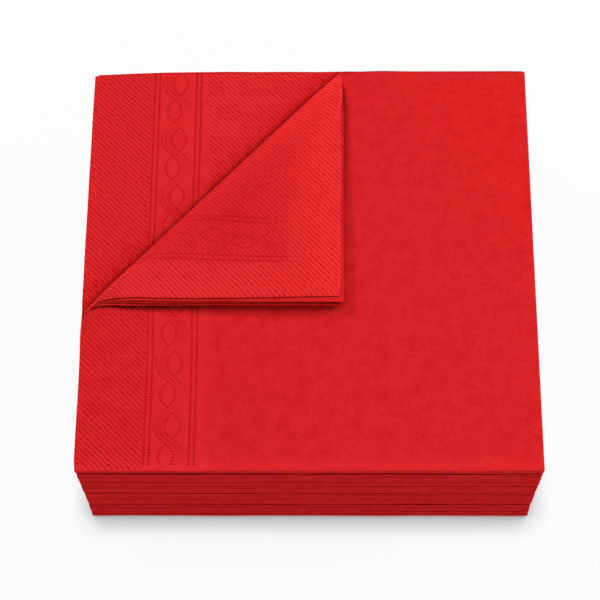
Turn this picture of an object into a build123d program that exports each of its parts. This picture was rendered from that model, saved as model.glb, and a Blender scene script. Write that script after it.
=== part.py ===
from build123d import *
import os
from math import cos, pi, radians, sin, sqrt

# A stack of paper napkins, each folded in half twice, with one corner of the top napkin turned back.
# Origin: centre of the stack's foot. X runs left to right, Y front to back, Z up. Millimetres.
# Every napkin has its first fold on the right, its second at the front, and its cut edges left and back.

# The sheet, opened out
sheet_width = 330.0
sheet_length = 320.0
sheet_thickness = 0.5
leaf_gap = 0.12
cut_edge_setback = 1.2

# The turned corner of the top napkin
corner_length = 98.0
crease_gap = 0.8

# The pile, as handfuls laid one on another from the bottom up
handfuls = (4, 3, 2, 3, 4, 3, 4, 2)
handful_slip = 0.5
napkin_slip = 0.2
napkin_turn = 0.12
slip_heading = 137.5

# Sizes that follow from the sheet: a pair is the sheet folded once, a napkin is the pair folded once more
leaf_count = 4
leaf_pitch = sheet_thickness + leaf_gap
pair_thickness = leaf_pitch + sheet_thickness
napkin_thickness = 2 * pair_thickness + leaf_gap
folded_width = sheet_width / 2
folded_length = sheet_length / 2
left_x = -folded_width / 2
back_y = folded_length / 2
right_bend_x = folded_width / 2 - pair_thickness / 2
front_bend_y = -folded_length / 2 + napkin_thickness / 2
second_fold = Axis((0, front_bend_y, napkin_thickness / 2), (-1, 0, 0))

# The crease of the turned corner, halfway between the back edge and the left edge it meets
half_crease = corner_length / sqrt(2)
crease_x = left_x + corner_length / 2
crease_y = back_y - corner_length / 2
crease_z = napkin_thickness + crease_gap / 2
crease_wall = Plane((crease_x, crease_y, 0), x_dir=(1, 1, 0), z_dir=(1, -1, 0))
crease_axis = Axis((crease_x, crease_y, crease_z), (1, 1, 0))


def leaf_setback(leaf):
    """How far a leaf's left edge stops short: the two inner leaves are a little narrower."""
    is_inner = 0 < leaf < leaf_count - 1
    return cut_edge_setback if is_inner else 0.0


def turned_leaf(leaf):
    """One leaf of the turned corner: a half-round bend over the crease, then the flat triangle past it."""
    leaf_z = leaf * leaf_pitch
    bend_radius = crease_z - leaf_z - sheet_thickness / 2
    bend_length = pi * bend_radius
    flap_z = 2 * crease_z - leaf_z - sheet_thickness
    left_end = -half_crease + leaf_setback(leaf) * sqrt(2)
    back_end = half_crease
    flap_left = left_end + bend_length
    flap_back = back_end - bend_length
    flap_middle = (flap_left + flap_back) / 2
    flap_depth = (flap_back - flap_left) / 2

    with BuildPart() as turned:
        with BuildSketch(crease_wall):
            with Locations(((left_end + back_end) / 2, leaf_z + sheet_thickness / 2)):
                Rectangle(back_end - left_end, sheet_thickness)
        revolve(axis=crease_axis, revolution_arc=180)
        # The paper's slanting edges run in along the bend, so its ends are drawn in from foot to top
        with BuildSketch(crease_wall):
            with BuildLine():
                Polyline(
                    (left_end, leaf_z),
                    (back_end, leaf_z),
                    (back_end, leaf_z + sheet_thickness),
                    (flap_back, flap_z),
                    (flap_back, flap_z + sheet_thickness),
                    (flap_left, flap_z + sheet_thickness),
                    (flap_left, flap_z),
                    (left_end, leaf_z + sheet_thickness),
                    close=True,
                )
            make_face()
        extrude(amount=bend_radius + sheet_thickness, both=True, mode=Mode.INTERSECT)
        with BuildSketch(Plane((crease_x, crease_y, flap_z), x_dir=(1, 1, 0), z_dir=(0, 0, 1))):
            with BuildLine():
                Polyline((flap_left, 0), (flap_back, 0), (flap_middle, -flap_depth), close=True)
            make_face()
        extrude(amount=sheet_thickness)
    return turned.part


# One napkin: the once-folded sheet runs to the front, turns over there and runs back above itself
with BuildPart() as folded_napkin:
    with BuildSketch(Plane.XZ.offset(-front_bend_y)):
        with Locations((left_x, 0)):
            Rectangle(right_bend_x - left_x, pair_thickness, align=Align.MIN)
        with Locations((right_bend_x, pair_thickness / 2)):
            Circle(pair_thickness / 2)
        with Locations((left_x, sheet_thickness)):
            Rectangle(folded_width - sheet_thickness, leaf_gap, align=Align.MIN, mode=Mode.SUBTRACT)
    extrude(amount=front_bend_y - back_y)
    mirror(about=Plane.XY.offset(napkin_thickness / 2))
    # The second fold presses the two leaves together and squares the first fold where they cross
    with BuildSketch(Plane.XZ.offset(-front_bend_y)):
        with Locations((left_x, 0)):
            Rectangle(folded_width, pair_thickness, align=Align.MIN)
    revolve(axis=second_fold, revolution_arc=180)
    # The two inner leaves stop short of the outer two at the cut edges on the left
    with BuildSketch(Plane.YZ.offset(left_x)):
        with Locations((front_bend_y + sheet_thickness - napkin_thickness / 2, sheet_thickness)):
            inner_length = back_y - front_bend_y + napkin_thickness / 2 - sheet_thickness
            Rectangle(inner_length, napkin_thickness - 2 * sheet_thickness, align=Align.MIN)
    extrude(amount=cut_edge_setback, mode=Mode.SUBTRACT)

# The top napkin: its back left corner is cut away along the crease and laid over as four turned leaves
turned_leaves = [turned_leaf(leaf) for leaf in range(leaf_count)]

with BuildPart() as creased_napkin:
    add(folded_napkin.part)
    with BuildSketch(Plane.XY):
        with BuildLine():
            Polyline(
                (left_x, back_y),
                (left_x, back_y - corner_length),
                (left_x + corner_length, back_y),
                close=True,
            )
        make_face()
    extrude(amount=napkin_thickness, mode=Mode.SUBTRACT)
    add(turned_leaves)


def pile_place(napkin, handful):
    """Where a napkin lies: its handful slid a little, and it slid and turned a little in its handful."""
    handful_way = radians(handful * slip_heading)
    napkin_way = radians(napkin * slip_heading)
    slide_x = handful_slip * cos(handful_way) + napkin_slip * cos(napkin_way)
    slide_y = handful_slip * sin(handful_way) + napkin_slip * sin(napkin_way)
    turn = napkin_turn * sin(napkin_way)
    return Location((slide_x, slide_y, napkin * napkin_thickness), (0, 0, turn))


# The stack, with a node for every napkin
os.makedirs("parts", exist_ok=True)
handful_of_napkin = [handful for handful, size in enumerate(handfuls) for _ in range(size)]
napkin_count = len(handful_of_napkin)

for napkin, handful in enumerate(handful_of_napkin):
    is_top = napkin == napkin_count - 1
    with BuildPart() as laid_napkin:
        with Locations(pile_place(napkin, handful)):
            add(creased_napkin.part if is_top else folded_napkin.part)
    laid_napkin.part.label = "top_napkin" if is_top else f"napkin_{napkin + 1:02d}"
    export_step(laid_napkin.part, f"parts/{laid_napkin.part.label}.step")

print("napkins", napkin_count, "of", round(napkin_thickness, 2), "mm")
print("paper in a plain napkin", round(folded_napkin.part.volume), "mm3")
print("paper in the creased one", round(creased_napkin.part.volume), "mm3")
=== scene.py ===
# %% [markdown]
# # A stack of paper napkins
#
# The real thing is a neat pile of twenty-five paper napkins. Each one is a single sheet of dyed tissue,
# pressed between patterned rollers, folded in half and in half again. One corner of the top napkin is
# turned back. The CAD model already says where every napkin lies, so it is loaded first and stays as the
# fixed frame, and each napkin is then made again as soft paper in the place that its CAD solid holds.

from math import cos, pi, radians, sin, sqrt

import bmesh
import bpy
import numpy as np
from mathutils import Matrix, Vector


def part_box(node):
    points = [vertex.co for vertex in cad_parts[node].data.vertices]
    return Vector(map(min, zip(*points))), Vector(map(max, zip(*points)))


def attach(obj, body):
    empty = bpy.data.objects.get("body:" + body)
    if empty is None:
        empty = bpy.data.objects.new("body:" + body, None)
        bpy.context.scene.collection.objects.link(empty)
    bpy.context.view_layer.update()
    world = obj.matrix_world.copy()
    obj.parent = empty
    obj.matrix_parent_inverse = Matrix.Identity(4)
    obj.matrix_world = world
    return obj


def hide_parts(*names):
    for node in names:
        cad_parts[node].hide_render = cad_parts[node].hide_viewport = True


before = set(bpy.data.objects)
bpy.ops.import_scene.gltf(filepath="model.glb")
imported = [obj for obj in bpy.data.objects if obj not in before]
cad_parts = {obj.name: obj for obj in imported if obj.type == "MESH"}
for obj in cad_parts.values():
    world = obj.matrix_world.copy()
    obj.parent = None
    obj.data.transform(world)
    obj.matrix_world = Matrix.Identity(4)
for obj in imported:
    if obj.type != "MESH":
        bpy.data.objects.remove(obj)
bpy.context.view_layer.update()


# %% [markdown]
# ## The camera
#
# The picture was taken from above and in front, with a long lens. The stack's six visible corners were
# measured in the picture, and one camera was found that sees all six where they are. A camera in Blender
# looks along its own -Z with +Y up, so the three columns of its matrix are its right, its up, and the way
# back from what it looks at.

# %% Camera
look_down, look_aside, tilt = radians(67.403), radians(-1.258), radians(1.169)
camera_place = Vector((0.00196, -0.25938, 0.6451))
focal_pixels, image_pixels = 1740.9, 600
film_width = 36

forward = Vector((sin(look_aside) * cos(look_down), cos(look_aside) * cos(look_down), -sin(look_down)))
level = Vector((cos(look_aside), -sin(look_aside), 0))
upward = level.cross(forward)
right = cos(tilt) * level - sin(tilt) * upward
up = sin(tilt) * level + cos(tilt) * upward

camera_data = bpy.data.cameras.new("camera")
camera_data.sensor_fit = "HORIZONTAL"
camera_data.sensor_width = film_width
camera_data.lens = focal_pixels * film_width / image_pixels
camera = bpy.data.objects.new("camera", camera_data)
camera_turn = Matrix((right, up, -forward)).transposed().to_4x4()
camera.matrix_world = Matrix.Translation(camera_place) @ camera_turn
bpy.context.scene.collection.objects.link(camera)
bpy.context.scene.camera = camera
print("lens", round(camera_data.lens, 1), "mm")

# %% [markdown]
# ## A sheet of tissue, cut flat
#
# A napkin starts as a flat sheet, so the mesh does too. It is a thin closed slab: a grid for the outside
# face, the same grid turned over for the inside face, and a rim of quads between them. The grid lines lie
# close together where a fold will come and far apart where the paper stays flat, so few faces are spent.
# Here and in all the paper work below, lengths are in millimetres, and they turn into metres only when
# the finished napkin is laid on the pile.

# %% Sheet
sheet_width, sheet_length, sheet_thickness = 330.0, 320.0, 0.5
leaf_pitch = 0.62
inner_setback = 1.2
folded_width, folded_length = sheet_width / 2, sheet_length / 2
right_cut = sheet_width - inner_setback


def cut_sheet(name, across, along):
    """A flat slab of paper, outside face up: x runs across the sheet, y along it, z through its thickness."""
    x, y = np.meshgrid(across, along, indexing="ij")
    outside = np.stack((x, y, np.full_like(x, sheet_thickness / 2)), -1).reshape(-1, 3)
    inside = outside * (1, 1, -1)
    number = np.arange(x.size).reshape(x.shape)
    quads = np.stack((number[:-1, :-1], number[1:, :-1], number[1:, 1:], number[:-1, 1:]), -1).reshape(-1, 4)
    rim = np.concatenate((number[:-1, 0], number[-1, :-1], number[:0:-1, -1], number[0, :0:-1]))
    rim_next = np.roll(rim, -1)
    sides = np.stack((rim + x.size, rim_next + x.size, rim_next, rim), -1)
    faces = np.concatenate((quads, quads[:, ::-1] + x.size, sides))
    mesh = bpy.data.meshes.new(name)
    mesh.from_pydata(np.concatenate((outside, inside)).tolist(), [], faces.tolist())
    return mesh


def refine(mesh, wanted, cuts):
    """Splits the faces whose middles are wanted into a finer grid. The faces around them are stitched on."""
    work = bmesh.new()
    work.from_mesh(mesh)
    middles = np.array([face.calc_center_median() for face in work.faces])
    picked = wanted(*middles.T)
    edges = [edge for edge in work.edges if any(picked[face.index] for face in edge.link_faces)]
    bmesh.ops.subdivide_edges(work, edges=edges, cuts=cuts, use_grid_fill=True)
    work.to_mesh(mesh)
    work.free()


# %% Grid lines of a plain sheet
edge_strip = 2
first_flat, second_flat = 7, 8  # so far from its fold line, the paper lies flat again


def grid_lines(*stretches):
    """Places of the grid lines over several stretches, each given as (from, to, number of cells)."""
    places = [np.linspace(start, end, cells + 1) for start, end, cells in stretches]
    return np.unique(np.concatenate(places).round(4))


def cells_at_fold(fold, flat, tight, few, many):
    """Stretches round a fold line: many cells in the tight bend itself, and a few on either side of it."""
    places = fold - flat, fold - tight, fold + tight, fold + flat
    return list(zip(places[:-1], places[1:], (few, many, few)))


first_fold = cells_at_fold(folded_width, first_flat, 0.6, 4, 8)
second_fold = cells_at_fold(folded_length, second_flat, 2, 3, 16)
plain_left = (0, edge_strip, 2), (edge_strip, folded_width - first_flat, 13)
plain_right = (folded_width + first_flat, right_cut - edge_strip, 13), (right_cut - edge_strip, right_cut, 2)
plain_low = (0, edge_strip, 2), (edge_strip, folded_length - second_flat, 12)
back_strip = sheet_length - edge_strip
plain_high = (folded_length + second_flat, back_strip, 12), (back_strip, sheet_length, 2)
plain_across = grid_lines(*plain_left, *first_fold, *plain_right)
plain_along = grid_lines(*plain_low, *second_fold, *plain_high)
print("a plain sheet has", len(plain_across) - 1, "by", len(plain_along) - 1, "cells a side")

# %% [markdown]
# ## The two folds
#
# A fold is a rule for where each point of the flat sheet goes. Near the fold line the paper runs round a
# bend, and past it the paper lies back over itself. A point on the outside face goes round a wider bend
# than one on the inside face, so the rule takes the point's height in the paper too, and anything pressed
# into the flat sheet is carried round the bends with it. The first fold is on the right of the napkin,
# and is a half circle. The second is at the front, where the weight of the pack has pressed it nearly
# square. The lowest napkin has a rounder front, so the stack stands on a soft edge.

# %% Fold in half, and in half again
right_bend = folded_width / 2 - (leaf_pitch + sheet_thickness) / 2
second_core = 1.5 * leaf_pitch
front_bend = -folded_length / 2 + second_core + sheet_thickness / 2
napkin_thickness = 3 * leaf_pitch + sheet_thickness
pressed_front, soft_front = 0.35, 0.8  # a power of 1 would be a half circle, and 0 a square


def half_turn(past, radius):
    """Angle round a half circle, from -90 to 90 degrees, and the straight run after it, past a fold line."""
    angle = np.clip(past / radius, -pi / 2, pi / 2)
    return angle, np.maximum(np.abs(past) - radius * pi / 2, 0)


def squared(value, power):
    """Turns the sine or cosine of a half circle into that of a squarer curve."""
    return np.sign(value) * np.abs(value) ** power


def fold_twice(across, along, height, power):
    """The folded place of points of the flat sheet, and the height of the middle of each one's leaf."""
    bend = leaf_pitch / 2
    angle, run = half_turn(across - folded_width, bend)
    x = right_bend + (bend + height) * np.cos(angle) - run
    pair_height = bend + (bend + height) * np.sin(angle)
    radius = second_core - bend - bend * np.sin(angle)
    angle, run = half_turn(along - folded_length, radius)
    y = front_bend - (second_core - pair_height) * squared(np.cos(angle), power) + run
    z = second_core + (second_core - pair_height) * squared(np.sin(angle), power)
    leaf_middle = second_core + radius * squared(np.sin(angle), power)
    return np.stack((x, y, z + sheet_thickness / 2), -1), leaf_middle + sheet_thickness / 2


print("a folded napkin is", round(napkin_thickness, 2), "mm thick")

# %% [markdown]
# ## The turned-back corner
#
# The back left corner of the top napkin is turned over as one, all four leaves together. A cloth
# simulation could drape it, but pressed paper keeps its folds, and a rule can lay every edge just where
# it belongs. It is the rule of the folds again, along a slanting line: the leaves roll round one axis
# just above the napkin, the lowest leaf on the widest circle and the top leaf on the tightest, so their
# edges come out stepped like a fan. A finger has pressed the crease, so the leaves are squeezed together
# there, most of all at its two ends, and swell again within a centimetre or two.

# %% The crease
corner = np.array((-folded_width / 2, folded_length / 2))
crease_back, crease_left = corner + (93.6, 0), corner - (0, 99.2)
crease_length = np.linalg.norm(crease_back - crease_left)
crease_way = (crease_back - crease_left) / crease_length
inward = np.array((crease_way[1], -crease_way[0]))
corner_depth = (crease_back - corner) @ inward
crease_gap = 0.2
end_squeeze, middle_squeeze = 0.1, 0.6  # what is left of a leaf's height under the finger


def ease(value, start, end):
    """0 before start and 1 after end, with a soft change between."""
    share = np.clip((value - start) / (end - start), 0, 1)
    return share * share * (3 - 2 * share)


print("crease", round(float(crease_length), 1), "mm long")

# %% [markdown]
# ## The leaves of the flap
#
# Past the roll each leaf slips a little on the next, so each has its own place for the tip of its corner,
# and its two free edges swing out in a bow of their own. The leaf that comes out on top lifts a little at
# the front, and all four droop along the right, where nothing holds them. The end of the crease at the
# back pokes out past the edge of the napkin, because the leaves inside it are rolled round one another.

# %% Flap
# One row for each leaf, from the lowest, which the turn brings to the top
leaf_tips = np.array(((11.1, -15.6), (11.6, -18.9), (11.7, -18.6), (12.5, -18.35)))
leaf_swings = np.array(((1.95, 4.4), (0.9, 2.5), (0.7, 2.5), (0.1, 3.1)))  # right edge, front edge
leaf_fades = np.array((3.0, 3.0, 3.0, 1.25))
leaf_lifts = np.array((0.4, 0.15, 0.15, 0.0))
edge_reach = 97
crease_poke = 1.2


def bow(distance, start, fade):
    """How far out an edge has swung, this far from its end at the crease: out at once, then slowly back."""
    return (1 - np.exp(-np.maximum(distance, 0) / start)) * np.clip(1 - distance / edge_reach, 0, 1) ** fade


def flap_height(z, run, loft, inside, lift):
    """How high the flap lies: its leaves in turned order, rising as they run away from the crease."""
    rim = 0.8 + 0.2 * ease(inside.min(axis=1), 0, 0.8)
    rise = crease_gap + 0.9 * ease(run, 1, 9) + 1.9 * ease(run, 8, 45)
    droop = 0.5 * np.clip(1 - inside[:, 1] / 14, 0, 1) ** 2 + 0.4 * (1 - ease(inside[:, 1], 0, 1))
    free = ease(run, 3, 15) * (lift * (1 - ease(inside[:, 0], 0, 14)) - droop)
    return loft * (napkin_thickness + rim * (napkin_thickness - z)) + rise + free


def turn_corner(place, leaf_middle):
    """Rolls what lies past the crease up and over, and lays it down as the flap."""
    flat_place, z = place[:, :2], place[:, 2]
    along_crease = (flat_place - crease_left) @ crease_way
    from_end = np.minimum(along_crease, crease_length - along_crease)
    squeeze = end_squeeze + (middle_squeeze - end_squeeze) * ease(from_end, -2, 15)
    axis_height = squeeze * napkin_thickness + crease_gap / 2
    past = corner_depth + axis_height - (flat_place - corner) @ inward
    roll_middle = axis_height - squeeze * leaf_middle
    roll = axis_height - squeeze * z
    angle = np.clip(past / roll_middle, 0, pi)
    run = np.maximum(past - pi * roll_middle, 0)

    leaf = (leaf_middle - sheet_thickness / 2) / leaf_pitch
    tip, swing = (np.stack([np.interp(leaf, range(4), side) for side in table.T], -1)
                  for table in (leaf_tips, leaf_swings))
    fade, lift = (np.interp(leaf, range(4), table) for table in (leaf_fades, leaf_lifts))
    tip_way = tip - corner - (corner_depth + axis_height)[:, None] * inward
    reach = run / (corner_depth + axis_height - pi * roll_middle)
    turned = flat_place + (past - roll * np.sin(angle))[:, None] * inward + reach[:, None] * tip_way

    inside = np.abs(flat_place - corner)
    near_edge = 1 - ease(inside, 20, 70)
    right_bow = bow(folded_length / 2 - turned[:, 1], 1.2, 0.45)
    turned[:, 0] += swing[:, 0] * right_bow * near_edge[:, 1] * ease(run, 0, 1.2)
    front_bow = bow(turned[:, 0] + folded_width / 2, 2.9, fade)
    turned[:, 1] += swing[:, 1] * front_bow * near_edge[:, 0] * ease(run, 0, 3.6)

    is_past = past > 0
    loft = squeeze + (1 - squeeze) * ease(np.where(is_past, run, -1.8 * past), 0, 14)
    rolled_z = axis_height - roll * np.cos(angle)
    turned_z = np.where(angle < pi, rolled_z, flap_height(z, run, loft, inside, lift))
    z = np.where(is_past, turned_z, z * loft)
    place = np.where(is_past[:, None], turned, flat_place)
    from_back_end = np.linalg.norm(place - crease_back, axis=1)
    poke = crease_poke * (1 - ease(from_back_end, 0, 4)) * ease(past, -1.5, 0.3)
    place += poke[:, None] * crease_way
    return np.column_stack((place, z))


print("flap of", len(leaf_tips), "leaves, its top tip at", leaf_tips[0].tolist(), "mm")

# %% [markdown]
# ## The pressed pattern
#
# The tissue is embossed: steel rollers press rows of small dots along its margin, which also hold its
# layers together, and a border of two pairs of dotted lines with a twisted rope between them. A bump map
# could hint at it, but the dots are real dents here. The part of the sheet that shows is cut into a grid
# finer than the dots, and each point of its outside face is pushed into the paper by the strength of the
# pattern there. The same strength is kept on the mesh, so the material can paint shade into the dents,
# and a second value paints highlights on the ridges between them.

# %% Rows of dots
emboss_depth = 0.44
row_pitch, dot_pitch = 1.45, 1.38


def woven_dots(across, along, lean):
    """Rows of dots that lean at 45 degrees, no two dots pressed quite alike, and the ridges between rows."""
    across = across + 0.16 * np.sin(2 * pi * along / 9 + 3 * np.sin(2 * pi * across / 23))
    one_way, other_way = 2 * pi * (across - along) / 7.3, 2 * pi * (across + along) / 5.1
    patches = 0.85 + 0.15 * np.sin(one_way + 2 * np.sin(along / 3)) * np.sin(other_way)
    over = (across + lean * along) / sqrt(2) / row_pitch
    down = (across - lean * along) / sqrt(2) / dot_pitch
    rows = np.exp(1.2 * (np.cos(2 * pi * over) - 1))
    dots = np.exp(0.36 * (np.cos(2 * pi * down) - 1))
    chance = np.sin(12.9898 * np.round(over) + 78.233 * np.round(down)) * 43758.5453
    ridges = np.exp(-1.2 * (np.cos(2 * pi * over) + 1))
    return patches * rows * dots * (0.55 + 0.55 * (chance - np.floor(chance))), patches * ridges


# %% The rope border
line_dot_pitch, line_width = 1.05, 0.34
border_lines = 0, 1.85, 15.9, 17.75
rope_middle, rope_pitch, rope_swing = 8.75, 11.7, 4.2
strand_offsets = -1.4, 0, 1.4
eye_offset, eye_half_width, eye_half_length = 1.05, 2.7, 4.8


def dotted_line(distance, run):
    """A row of dots: distance is how far a point is from the line, and run its place along it."""
    return np.exp(-(distance / line_width) ** 2) * (0.5 + 0.5 * np.cos(2 * pi * run / line_dot_pitch))


def rope(offset, run):
    """Three dotted lines that wind from side to side, with a pointed eye in every bend."""
    eye = np.floor(run / rope_pitch)
    from_eye = offset - np.where(eye % 2 == 0, eye_offset, -eye_offset)
    eye_run = run - (eye + 0.5) * rope_pitch
    eye_edge = np.abs(from_eye) - eye_half_width * (1 - (eye_run / eye_half_length) ** 2)
    pressed = 0.95 * dotted_line(0.8 * eye_edge, 0.9 * eye_run)
    phase = pi * (run / rope_pitch - 0.5)
    slope = rope_swing * pi / rope_pitch * np.sin(phase)
    slant = 1 / np.sqrt(1 + slope ** 2)
    depth = 0.65 - 0.25 * np.sin(phase) + 0.15 * np.cos(phase)
    for strand in strand_offsets:
        line = dotted_line((offset + rope_swing * np.cos(phase)) * slant - strand, 1.25 * run)
        pressed = np.maximum(pressed, depth * line)
    return pressed


def border(from_edge, run, start):
    """The whole border: start is how far its first dotted line lies from the edge of the sheet."""
    pressed = 1.1 * rope(from_edge - start - rope_middle, run)
    for line in border_lines:
        pressed = np.maximum(pressed, 1.4 * dotted_line(from_edge - start - line, run))
    return pressed


def margin_before(across, start):
    """1 in the margin, between the edge of the sheet and the border that starts there, and 0 elsewhere."""
    return 1 - ease(across, start - 1.2, start - 0.5)


print("rope border", border_lines[-1], "mm wide, an eye every", rope_pitch, "mm")

# %% [markdown]
# ## A pile that is never quite true
#
# A new pack has been knocked square, so every napkin lies at the height of its CAD solid and keeps only a
# tenth of its slip. Its cut edges wander by a tenth of a millimetre, as paper does when it is cut in a
# thick block. The front folds are less even: some stand a little in or out, which draws the few dark
# lines between the layers. The whole pile then settles as one: some layers are squeezed flatter than
# others, and the free corner at the back left hangs a little. That part of the rule is the same for every
# napkin, so none is pushed into the next.

# %% Pile
napkin_turn, slip_heading = 0.04, 137.5  # degrees
slip_share = 0.1
# How far the front fold of each napkin stands in, from the bottom up
front_set = (-0.35, -0.95, -0.6, -0.4, -0.3, -0.05, 0.36, -0.05, -0.05, 0, 0, 0.05, 0.42,
             0.1, -0.05, 0.05, 0.2, 0.02, 0.22, 0, 0, 0.05, 0.65, 0, -0.45)
pile_height = len(front_set) * napkin_thickness
corner_droop, fold_spring = 1.7, 0.45
wander = np.random.default_rng(7)


def soft_wave(place, size, length):
    """A gentle random wave along an edge, the same on every run."""
    first, second = wander.uniform(0, 2 * pi, 2)
    stretch = wander.uniform(0.8, 1.3)
    long_wave = np.sin(2 * pi * place / (length * stretch) + first)
    return size * (long_wave + 0.5 * np.sin(5 * pi * place / length + second))


def settle(x, y, z):
    """Lets the pile settle: layers squeezed unevenly, a little spring in the folds, a corner drooping."""
    share = np.clip(z / pile_height, 0, 1)
    squeeze = 0.30 * np.sin(2 * pi * z / 8.3 + x / 90 + 0.6)
    squeeze += 0.22 * np.sin(2 * pi * z / 13.7 - x / 70 + y / 41)
    spring = fold_spring * share * np.exp(-np.maximum(y + folded_length / 2, 0) / 2.5)
    from_corner = np.hypot(x - corner[0], y - corner[1])
    droop = corner_droop * (1 - ease(from_corner, -10, 30)) * share ** 1.5
    return z + squeeze * np.sin(pi * share) + spring - droop


print("pile of", len(front_set), "napkins,", round(pile_height, 1), "mm high before it settles")

# %% [markdown]
# ## Laying a napkin on the pile
#
# Every napkin goes through the same steps: the flat mesh is folded, its edges are brought to where this
# napkin has them, the corner is turned back if it is the top one, and the whole is laid where its CAD
# solid lies. An edge is moved by a share of the paper, none at the far side and all of it at the edge, so
# the sheet stays smooth. The finished mesh then rides the stack's one body and stands in for the CAD
# solid.

# %% Edges
back_stations = -0.15, 0.2, 0.5, 0.6, 0.8  # shares of the width, from the left


def trim_edges(place, across, along, number, creased, reach_left, reach_back, reach_right):
    """Brings a folded napkin's four edges to where this napkin has them."""
    left = np.where(across < folded_width, soft_wave(along, 0.05, 70), soft_wave(along, 0.05, 70))
    back = np.where(along < folded_length, soft_wave(across, 0.11, 70), soft_wave(across, 0.11, 70))
    front = soft_wave(across, 0.06, 55) + front_set[number]
    x_share, y_share = 0.5 + place[:, 0] / folded_width, 0.5 + place[:, 1] / folded_length
    # The fold draws the front left corner in, and the turned corner draws the left edge out before the crease
    at_front = 1 - ease(y_share, -0.01, 0.03)
    left = left - reach_left * ease(y_share, 0.32, 0.41) + (0.45 if creased else 0.1) * at_front
    if creased:
        before_crease = ease(y_share, 0.25, 0.35) * (1 - ease(y_share, 0.38, 0.42))
        left = left - (0.2 + 0.35 * before_crease)
    back = back + np.interp(x_share, back_stations, reach_back)
    place[:, 0] += left * (1 - x_share) + np.interp(y_share, (0, 1), reach_right) * x_share
    place[:, 1] += back * y_share + front * (1 - y_share)
    return place


# %% Lay a napkin
def keep_on_points(mesh, name, values):
    """Keeps a value for every point of a mesh under a name, by which the material reads it."""
    mesh.attributes.new(name, "FLOAT", "POINT").data.foreach_set("value", values)


def lay_on_pile(name, node, mesh, number, pressed, creased=False,
                reach_left=0, reach_back=(0, 0, 0, 0, 0), reach_right=(0.2, 0.2)):
    """Folds the flat mesh, lays it where the CAD node lies, and lets it stand for that node."""
    flat = np.empty(len(mesh.vertices) * 3)
    mesh.vertices.foreach_get("co", flat)
    across, along, height = flat.reshape(-1, 3).T
    height = height - np.where(height > 0, pressed, 0)
    place, leaf_middle = fold_twice(across, along, height, pressed_front if number else soft_front)
    place = trim_edges(place, across, along, number, creased, reach_left, reach_back, reach_right)
    if creased:
        place = turn_corner(place, leaf_middle)
    low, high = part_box(node)
    turn = radians(napkin_turn * sin(radians(number * slip_heading)))
    x = place[:, 0] * cos(turn) - place[:, 1] * sin(turn) + slip_share * (high.x * 1000 - folded_width / 2)
    y = place[:, 0] * sin(turn) + place[:, 1] * cos(turn) + slip_share * (low.y * 1000 + folded_length / 2)
    z = settle(x, y, place[:, 2] + low.z * 1000)
    mesh.vertices.foreach_set("co", np.stack((x, y, z), -1).ravel() / 1000)
    # the material paints shade into the dents by this value
    keep_on_points(mesh, "pressed", pressed / emboss_depth)
    mesh.update()
    mesh.shade_smooth()
    mesh.set_sharp_from_angle(angle=radians(55))
    piece = bpy.data.objects.new(name, mesh)
    bpy.context.scene.collection.objects.link(piece)
    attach(piece, "root")
    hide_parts(node)
    return piece


# %% [markdown]
# ## The napkins below
#
# Of the lower twenty-three napkins only the folds and the cut edges show, so they are plain sheets with
# few faces.

# %% Plain napkins
napkins = []
for number in range(len(front_set) - 2):
    count = f"{number + 1:02d}"
    mesh = cut_sheet(f"tissue_{count}", plain_across, plain_along)
    bare = np.zeros(len(mesh.vertices))
    napkins.append(lay_on_pile(f"folded_napkin_{count}", f"napkin_{count}", mesh, number, bare))
print(len(napkins), "plain napkins,", len(napkins[0].data.polygons), "faces each")

# %% [markdown]
# ## The second napkin
#
# Turning the corner back bares the corner of the napkin below, with its margin, its border and the dots
# beyond it. Only that corner of its top leaf is cut fine. A smooth strip is left beside the border, wider
# towards the front. The paper there is drawn a little lighter than in the pile, but not close beside the
# crease, which leaves a painted shade where the flap keeps the light off it.

# %% Second napkin: the mesh
cell = 4.9  # the coarse cells where the pattern shows, before they are split
face_height = 0.1  # what lies lower in the paper than this is its rim
bare_reach = 106  # from the corner, along the left and back edges added together
fine_left = (0, 20 * cell, 20), (20 * cell, folded_width - first_flat, 6)
fine_back_start = sheet_length - 21 * cell
fine_back = (folded_length + second_flat, fine_back_start, 5), (fine_back_start, sheet_length, 21)
mesh = cut_sheet("tissue_24", grid_lines(*fine_left, *first_fold, *plain_right),
                 grid_lines(*plain_low, *second_fold, *fine_back))


def on_bare_corner(x, y, z):
    """True on the outside face of the top leaf, where the turned corner bares it."""
    return (z > face_height) & (y > folded_length + 10) & (x + sheet_length - y < bare_reach)


def past_crease(from_left, from_back):
    """How far a point lies past the crease, from its distances to the left and back edges of the napkin."""
    return corner_depth - np.stack((from_left, -from_back), -1) @ inward


refine(mesh, on_bare_corner, cuts=13)
across, along, height = np.array([vertex.co for vertex in mesh.vertices]).T

# %% Second napkin: the pattern
border_start = 23.4
from_back = sheet_length - along
bare_corner = (height > 0) & (along > folded_length + 10) & (across + from_back < bare_reach + 2)
margin = margin_before(across, border_start)
beyond = ease(across, border_start + 18.3 + 0.06 * from_back, border_start + 19.8 + 0.06 * from_back)
dots, ridges = woven_dots(across, along, 1)
dots = 1.2 * dots * np.maximum(margin, 0.9 * beyond)
rope_run = 287.3 + 0.97 * (along - 292)  # this sheet stretched a little under the rollers
pressed = np.maximum(dots, 0.75 * border(across, rope_run, border_start))
pressed = emboss_depth * np.where(bare_corner, pressed, 0)
# painted shade beside the crease: the lighter paper and the ridge highlights fade out towards it
clear_of_crease_shade = bare_corner * ease(past_crease(across, from_back), 0.5, 9)
keep_on_points(mesh, "painted_ridge_highlight", 0.4 * ridges * np.maximum(margin, beyond) * clear_of_crease_shade)
keep_on_points(mesh, "paler_and_painted_light", (0.38 - 0.18 * margin) * clear_of_crease_shade)
napkins.append(lay_on_pile("folded_napkin_24", "napkin_24", mesh, len(napkins), pressed,
                           reach_left=0.65, reach_back=(0, 0.85, 0.85, 1.2, 0.2)))
print("second napkin,", len(mesh.polygons), "faces")

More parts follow.
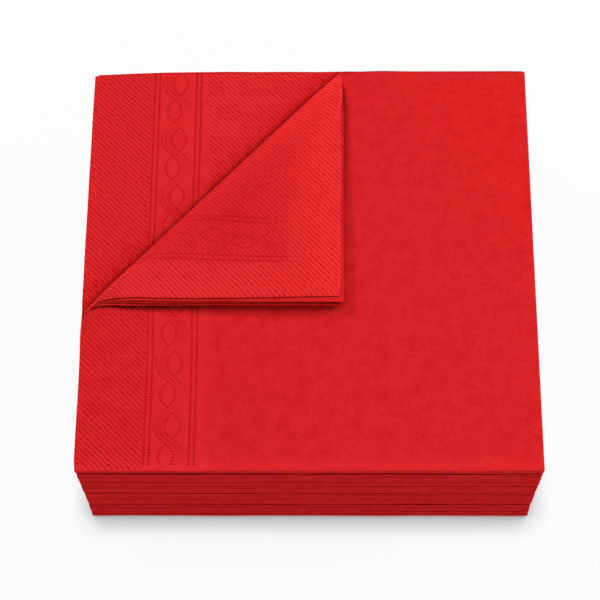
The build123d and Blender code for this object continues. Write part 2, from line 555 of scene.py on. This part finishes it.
# %% [markdown]
# ## The top napkin
#
# Two parts of this sheet show their pattern: the front left of the top leaf, and the underside of the
# corner, which the turn brings face up. Both lie on the outside face of the flat sheet, so one mesh
# serves. The paper round the crease is cut finer on all four leaves, so that each rolls over as a smooth
# curve.

# %% Top napkin: the mesh
front_start, front_end = 160.5, 222.4  # the pattern at the front shows over this stretch of the sheet
front_right = 9 * cell
flap_reach = 103  # from the corner, as above
fine_right_start = sheet_width - 20 * cell
fine_right = (folded_width + first_flat, fine_right_start, 5), (fine_right_start, right_cut, 20)
fine_corner = (0, 20 * cell, 20), (20 * cell, folded_length - second_flat, 5)
fine_front = (152, 158, 3), (158, front_start, 10), (front_start, 162, 2), (162, 170, 4), (170, front_end, 11)
mesh = cut_sheet("tissue_25", grid_lines(*fine_left, *first_fold, *fine_right),
                 grid_lines(*fine_corner, *fine_front, (front_end, sheet_length, 20)))


def on_pattern(x, y, z):
    """True where the outside face will show its pattern, on the turned corner or at the front."""
    on_corner = (x < folded_width) & (y < folded_length) & (x + y < flap_reach)
    on_front = (x < front_right) & (y > front_start) & (y < front_end)
    return (z > face_height) & (on_corner | on_front)


def on_crease(x, y, z):
    """True near the crease on each of the four leaves, except where the pattern has been cut fine already."""
    past = past_crease(np.minimum(x, sheet_width - x), np.minimum(y, sheet_length - y))
    first_leaf_outside = (z > face_height) & (x < folded_width) & (y < folded_length)
    return (past > -3) & (past < 10) & (np.abs(z) > face_height) & ~first_leaf_outside


refine(mesh, on_pattern, cuts=12)
refine(mesh, on_crease, cuts=4)
across, along, height = np.array([vertex.co for vertex in mesh.vertices]).T

# %% Top napkin: the pattern at the front
border_start = 24.3
front_shows = (height > 0) & (along > front_start) & (across < front_right) & (along < front_end)
margin = margin_before(across, border_start)
dots, ridges = woven_dots(across, along, 1)
front_dots = 1.18 * dots * margin * ease(along, 160.7, 161.6)
front_border = 0.7 * border(across, along - 7.35, border_start) * ease(along, 161.5, 162.5)
front_pressed = np.where(front_shows, np.maximum(front_dots, front_border), 0)
front_ridge_highlight = 0.32 * ridges * margin * front_shows
# lighter paper over the pattern, and a painted highlight along the edge of the front fold
front_edge = (height > 0) & (along > folded_length)
front_lighter_and_edge_highlight = (0.28 - 0.2 * margin) * front_shows + 0.4 * front_edge * (1 - ease(along, 161, 168))

# %% [markdown]
# ## The pattern on the flap
#
# On the turned corner the border lies a little askew and fades out towards the right, where rows of dots
# take over. Painted light makes the flap lighter along its free edges and its crease, where the leaves
# stand apart and light reaches them from more sides.

# %% Top napkin: the pattern on the flap
border_start = 12.8 + 0.044 * along
corner_shows = (height > 0) & (along < folded_length) & (across + along < flap_reach + 3)
margin = margin_before(across, border_start)
side = 1 - ease(along + 0.25 * (across - 20), 17, 27)
dots, ridges = woven_dots(across, along, -1)
corner_dots = dots * np.maximum(1.05 * np.maximum(margin, side), 0.85)
askew = (across - border_start) * (1 + 0.0035 * (45 - along))
corner_border = 0.75 * border(askew, along + 3.8, 0) * ease(along - 0.6 * askew, 9, 21)
corner_pressed = np.where(corner_shows, np.maximum(corner_dots, corner_border), 0)
corner_ridge_highlight = 0.45 * ridges * np.maximum(np.maximum(margin, side), 0.15)
# painted light: the flap is drawn lighter along its free edges and beside its crease
by_edge = 1 - ease(np.minimum(along, across + 6), 4, 40)
by_crease = 1 - ease(past_crease(across, along), 4, 16)
corner_painted_light = 0.1 + 0.75 * by_edge + 0.45 * by_crease

# %% Top napkin: lay it
keep_on_points(mesh, "paler_and_painted_light", np.where(corner_shows, corner_painted_light, front_lighter_and_edge_highlight))
keep_on_points(mesh, "painted_ridge_highlight", np.where(corner_shows, corner_ridge_highlight, front_ridge_highlight))
pressed = emboss_depth * (front_pressed + corner_pressed)
napkins.append(lay_on_pile("folded_napkin_25", "top_napkin", mesh, len(napkins), pressed, creased=True,
                           reach_back=(0, 0, 0.2, 0.15, -0.4), reach_right=(0, 0.45)))
print("top napkin,", len(mesh.polygons), "faces")

# %% [markdown]
# ## Dyed tissue paper
#
# The paper is soft creped tissue, dyed red through and embossed. Its fibres scatter light at every depth,
# so it is matt with almost no shine, and its colour is a little uneven where the fibres bunch into
# clouds. Painted light and shade are drawn into that colour: a lighter red where the mesh asks for it;
# a deeper red in the dents, painted shade for the light that a dent sends from wall to wall; a lighter,
# whiter red on the ridges as a painted highlight; and near black in the gaps between the layers, painted
# shade where hardly any light is left. The material starts from Blender's Principled shader, and each of
# these effects is one mix of two colours. Every pattern is set by its real size.

# %% Nodes and colours
def colour(code):
    """A colour written as sRGB hex, as the linear values that a shader takes."""
    parts = [int(code[place:place + 2], 16) / 255 for place in (1, 3, 5)]
    return [part / 12.92 if part <= 0.04045 else ((part + 0.055) / 1.055) ** 2.4 for part in parts] + [1.0]


def add_node(tree, kind, inputs=None, **settings):
    """Adds a node, sets it up, and links or fills the inputs that are named or numbered."""
    node = tree.nodes.new(kind)
    for name, value in settings.items():
        setattr(node, name, value)
    for name, value in (inputs or {}).items():
        if isinstance(value, bpy.types.NodeSocket):
            tree.links.new(value, node.inputs[name])
        else:
            node.inputs[name].default_value = value
    return node


# %% Red tissue: the colour of the paper, and painted light on it
cloud_size = 5.0
fibre_size = 1.1  # single fibres are finer than this, and are drawn coarser so that they show

tissue = bpy.data.materials.new("red_embossed_tissue")
tissue.use_nodes = True
tree = tissue.node_tree
where = add_node(tree, "ShaderNodeTexCoord").outputs["Object"]
clouds = add_node(tree, "ShaderNodeTexNoise", {"Vector": where, "Scale": 1000 / cloud_size, "Detail": 3.0})
fibres = add_node(tree, "ShaderNodeTexNoise",
                  {"Vector": where, "Scale": 1000 / fibre_size, "Detail": 2.0, "Distortion": 0.6})
mottle = add_node(tree, "ShaderNodeMix",
                  {"Factor": 0.5, "A": clouds.outputs["Fac"], "B": fibres.outputs["Fac"]})
paper = add_node(tree, "ShaderNodeMix", {"Factor": mottle.outputs["Result"], "A": colour("#C20003"),
                                         "B": colour("#EC2F32")}, data_type="RGBA")
# the red is drawn lighter where the mesh asks for it: painted light on the flap and at the front fold,
# lighter paper elsewhere
pale_and_lit_share = add_node(tree, "ShaderNodeAttribute", attribute_name="paler_and_painted_light")
paper_with_painted_light = add_node(tree, "ShaderNodeMix", {"Factor": pale_and_lit_share.outputs["Fac"], "A": paper.outputs[2],
                                              "B": colour("#F02D30")}, data_type="RGBA")

# %% Red tissue: painted shade in dents and gaps, painted highlights on ridges
crevice_reach = 0.003

# painted shade: the more a point is pressed, the deeper the red drawn into its dent
dent = add_node(tree, "ShaderNodeAttribute", attribute_name="pressed")
with_painted_dent_shade = add_node(tree, "ShaderNodeMix", {"Factor": dent.outputs["Fac"], "A": paper_with_painted_light.outputs[2],
                                          "B": colour("#CE0003")}, data_type="RGBA")
# painted highlight: the ridges between the rows of dots are drawn a lighter, whiter red
ridge_highlight_share = add_node(tree, "ShaderNodeAttribute", attribute_name="painted_ridge_highlight")
with_painted_ridge_highlight = add_node(tree, "ShaderNodeMix", {"Factor": ridge_highlight_share.outputs["Fac"], "A": with_painted_dent_shade.outputs[2],
                                          "B": colour("#FF3E40")}, data_type="RGBA")
# Ambient occlusion tells how shut in a point is, and paints near-black shade into the colour there, so the
# eye sees a dark line between two layers
crevice = add_node(tree, "ShaderNodeAmbientOcclusion", {"Distance": crevice_reach}, samples=8)
with_painted_crevice_shade = add_node(tree, "ShaderNodeMix", {"Factor": crevice.outputs["AO"], "A": colour("#300001"),
                                          "B": with_painted_ridge_highlight.outputs[2]}, data_type="RGBA")
fuzz = add_node(tree, "ShaderNodeBump",
                {"Height": fibres.outputs["Fac"], "Strength": 0.5, "Distance": 0.0002})
shader = tree.nodes["Principled BSDF"]
tree.links.new(with_painted_crevice_shade.outputs[2], shader.inputs["Base Color"])
tree.links.new(fuzz.outputs["Normal"], shader.inputs["Normal"])
shader.inputs["Roughness"].default_value = 0.9
shader.inputs["Specular IOR Level"].default_value = 0.06
for napkin in napkins:
    napkin.data.materials.append(tissue)
print("tissue on", len(napkins), "napkins")

# %% [markdown]
# ## Floor
#
# The stack stands on a smooth white card. It shows white to the camera, and close to the stack a painted
# shadow darkens it, drawn by the ambient occlusion node where the paper hides the sky. To light that
# bounces off it, it is a mid grey, as in a studio where little light comes from below, so the front of
# the stack stays darker than its top.

# %% Floor
shadow_reach = 0.0095
cast_share = 0.04

bpy.ops.mesh.primitive_plane_add(size=6, location=(0, 0, -0.0001))
floor = bpy.context.object
floor.name = "table_top"
card = bpy.data.materials.new("smooth_white_card")
card.use_nodes = True
tree = card.node_tree
tree.nodes.remove(tree.nodes["Principled BSDF"])
# painted shadow: ambient occlusion darkens the white that the card shows to the camera, close to the stack
shade = add_node(tree, "ShaderNodeAmbientOcclusion",
                 {"Color": colour("#FDFDFD"), "Distance": shadow_reach}, samples=16)
white = add_node(tree, "ShaderNodeEmission", {"Color": shade.outputs["Color"], "Strength": 1.0})
cast = add_node(tree, "ShaderNodeBsdfDiffuse", {"Color": colour("#FDFDFD")})
seen = add_node(tree, "ShaderNodeMixShader", {0: cast_share, 1: white.outputs[0], 2: cast.outputs[0]})
bounce = add_node(tree, "ShaderNodeBsdfDiffuse", {"Color": colour("#808080")})
path = add_node(tree, "ShaderNodeLightPath")
surface = add_node(tree, "ShaderNodeMixShader",
                   {0: path.outputs["Is Camera Ray"], 1: bounce.outputs[0], 2: seen.outputs[0]})
tree.links.new(surface.outputs[0], tree.nodes["Material Output"].inputs["Surface"])
floor.data.materials.append(card)
print("floor", floor.name, "of", card.name)

# %% [markdown]
# ## Light
#
# Soft light comes from all round, as in a bright room, and the room itself looks white. A large window
# lamp at the right gives most of the rest. A smaller one at the back left throws the flap's shadow to its
# right and front, and a weak one in front shows the folds there. Together they light the paper at a plain
# level, so that its red comes out about as it is written.

# %% Sky
sky_strength = 0.36

world = bpy.data.worlds.new("soft_sky")
bpy.context.scene.world = world
world.use_nodes = True
tree = world.node_tree
path = add_node(tree, "ShaderNodeLightPath")
to_eye = path.outputs["Is Camera Ray"]
for ray in ("Is Glossy Ray", "Is Transmission Ray"):
    either = add_node(tree, "ShaderNodeMath", {0: to_eye, 1: path.outputs[ray]}, operation="MAXIMUM")
    to_eye = either.outputs[0]
strength = add_node(tree, "ShaderNodeMapRange", {"Value": to_eye, "To Min": sky_strength, "To Max": 1.0})
tree.nodes["Background"].inputs["Color"].default_value = colour("#FFFFFF")
tree.links.new(strength.outputs[0], tree.nodes["Background"].inputs["Strength"])
print("sky at", sky_strength, "of full white")


# %% Lamps
def add_lamp(name, way, distance, size, share):
    """A square lamp. A white surface that faces it squarely gets that share of full white light."""
    way = Vector(way).normalized()
    data = bpy.data.lights.new(name, "AREA")
    data.size = size
    data.energy = pi ** 2 * distance ** 2 * share
    lamp = bpy.data.objects.new(name, data)
    lamp.matrix_world = Matrix.Translation(way * distance) @ way.to_track_quat("Z", "Y").to_matrix().to_4x4()
    bpy.context.scene.collection.objects.link(lamp)
    print(name, round(data.energy, 1), "W")


# The first two shares are those of a level surface, over how squarely the lamp meets it
add_lamp("window_lamp", (0.77, 0.22, 0.59), 1.4, 0.55, 0.41 / 0.59)
add_lamp("back_lamp", (-0.57, 0.53, 0.63), 1.5, 0.35, 0.19 / 0.63)
add_lamp("front_fill", (0.0, -0.99, 0.14), 1.6, 0.5, 0.35)
bpy.context.scene.view_settings.view_transform = "Standard"
